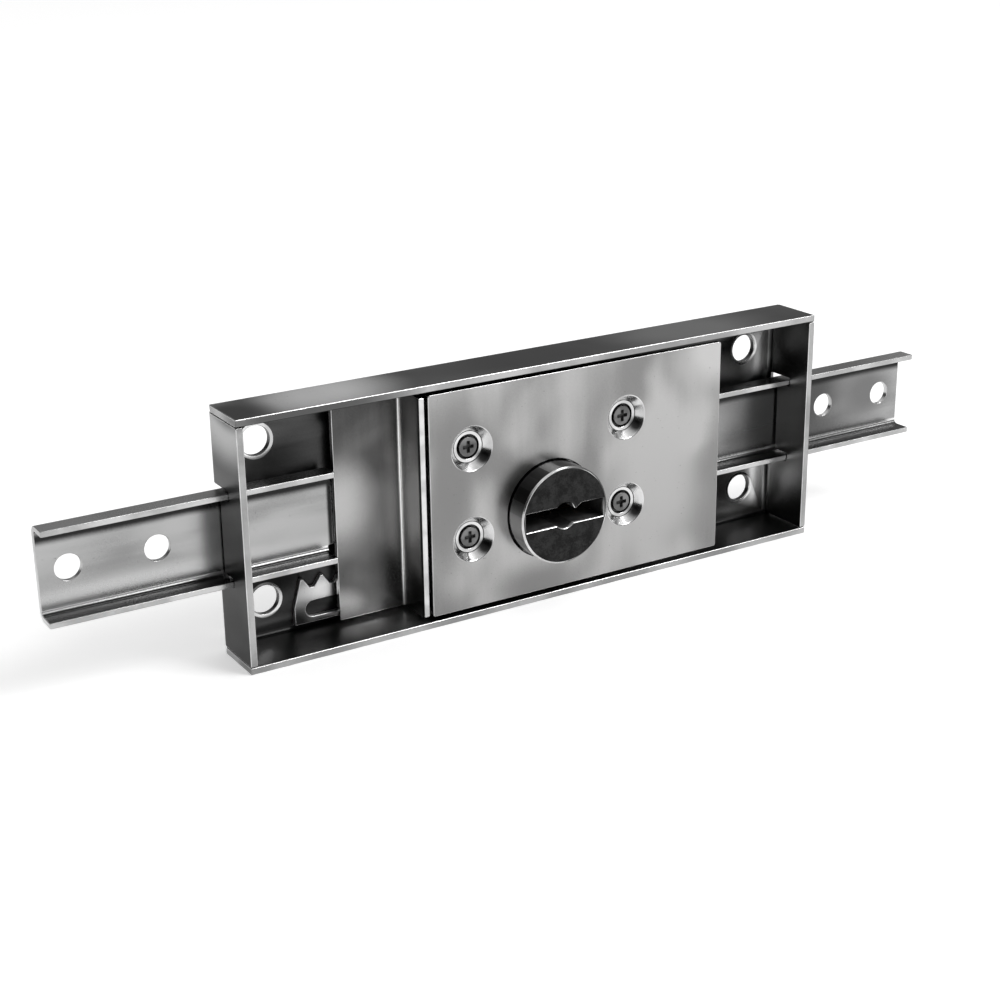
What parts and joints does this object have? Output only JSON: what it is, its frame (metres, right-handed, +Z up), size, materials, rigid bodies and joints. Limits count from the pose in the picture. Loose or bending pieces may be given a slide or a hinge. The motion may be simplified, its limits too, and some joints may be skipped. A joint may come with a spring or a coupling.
{
  "type": "roller shutter lock",
  "caption": "Central lock for a roller shutter: a flat steel tray with a round key head, whose turn drives two opposed channel bolt bars out of the tray's ends by a pinion and racks.",
  "frame": {"origin": "on the key's turning axis, in the plane of the tray's rim", "axes": "+X along the bolt bars to the right bar's end, seen from the key side; +Y from the key side into the tray, towards its floor; +Z up"},
  "size_m": [0.2216, 0.02, 0.054],
  "materials": {
    "nickel_plate": "satin nickel-plated sheet steel",
    "tray_steel": "semi-bright zinc-plated sheet steel",
    "bar_steel": "satin zinc-plated strip steel",
    "rack_steel": "stamped strip steel, as blanked",
    "plug_metal": "nickel-plated turned metal with a rough cast face",
    "housing_metal": "die-cast light alloy",
    "pinion_steel": "sintered steel",
    "tumbler_brass": "stamped brass",
    "spring_steel": "spring wire",
    "fastener_steel": "zinc-plated steel"
  },
  "bodies": {
    "lock_case": {"case": "tray_steel", "left_wall_tongue": "tray_steel", "right_wall_tongue": "tray_steel", "cover_plate": "nickel_plate", "side_bracket": "nickel_plate", "cylinder_housing": "housing_metal", "rear_bush": "tumbler_brass", "rack_guide_pin": "fastener_steel", "bracket_post_low": "fastener_steel", "bracket_post_high": "fastener_steel", "housing_screw_left": "fastener_steel", "housing_screw_right": "fastener_steel", "cover_pillar_top_left": "fastener_steel", "cover_pillar_top_right": "fastener_steel", "cover_pillar_bottom_left": "fastener_steel", "cover_pillar_bottom_right": "fastener_steel", "cover_screw_top_left": "fastener_steel", "cover_screw_top_right": "fastener_steel", "cover_screw_bottom_left": "fastener_steel", "cover_screw_bottom_right": "fastener_steel"},
    "key_cylinder": {"key_plug": "plug_metal", "drive_pinion": "pinion_steel", "tumbler_spring_1": "spring_steel", "tumbler_spring_2": "spring_steel", "tumbler_spring_3": "spring_steel", "tumbler_spring_4": "spring_steel", "tumbler_spring_5": "spring_steel"},
    "left_bolt": {"left_bolt_bar": "bar_steel", "upper_rack": "rack_steel", "upper_rack_rivet_1": "fastener_steel", "upper_rack_rivet_2": "fastener_steel"},
    "right_bolt": {"right_bolt_bar": "bar_steel", "lower_rack": "rack_steel", "lower_rack_rivet_1": "fastener_steel", "lower_rack_rivet_2": "fastener_steel"},
    "tumbler_plate_1": {"tumbler_1": "tumbler_brass"},
    "tumbler_plate_2": {"tumbler_2": "tumbler_brass"},
    "tumbler_plate_3": {"tumbler_3": "tumbler_brass"},
    "tumbler_plate_4": {"tumbler_4": "tumbler_brass"},
    "tumbler_plate_5": {"tumbler_5": "tumbler_brass"}
  },
  "joints": [
    {"name": "key_turn", "type": "hinge", "parent": "lock_case", "child": "key_cylinder", "pos_m": [0, 0, 0], "axis": [0, -1, 0], "range_deg": [0, 180]},
    {"name": "left_bolt_slide", "type": "slide", "parent": "lock_case", "child": "left_bolt", "axis": [-1, 0, 0], "range_m": [0, 0.02828]},
    {"name": "right_bolt_slide", "type": "slide", "parent": "lock_case", "child": "right_bolt", "axis": [1, 0, 0], "range_m": [0, 0.02828]},
    {"name": "tumbler_slide_1", "type": "slide", "parent": "key_cylinder", "child": "tumbler_plate_1", "axis": [1, 0, 0], "range_m": [0, 0.001]},
    {"name": "tumbler_slide_2", "type": "slide", "parent": "key_cylinder", "child": "tumbler_plate_2", "axis": [-1, 0, 0], "range_m": [0, 0.001]},
    {"name": "tumbler_slide_3", "type": "slide", "parent": "key_cylinder", "child": "tumbler_plate_3", "axis": [1, 0, 0], "range_m": [0, 0.001]},
    {"name": "tumbler_slide_4", "type": "slide", "parent": "key_cylinder", "child": "tumbler_plate_4", "axis": [-1, 0, 0], "range_m": [0, 0.001]},
    {"name": "tumbler_slide_5", "type": "slide", "parent": "key_cylinder", "child": "tumbler_plate_5", "axis": [1, 0, 0], "range_m": [0, 0.001]}
  ],
  "couplings": [
    {"joint": "left_bolt_slide", "follows": "key_turn", "m_per_rad": 0.009},
    {"joint": "right_bolt_slide", "follows": "key_turn", "m_per_rad": 0.009}
  ]
}
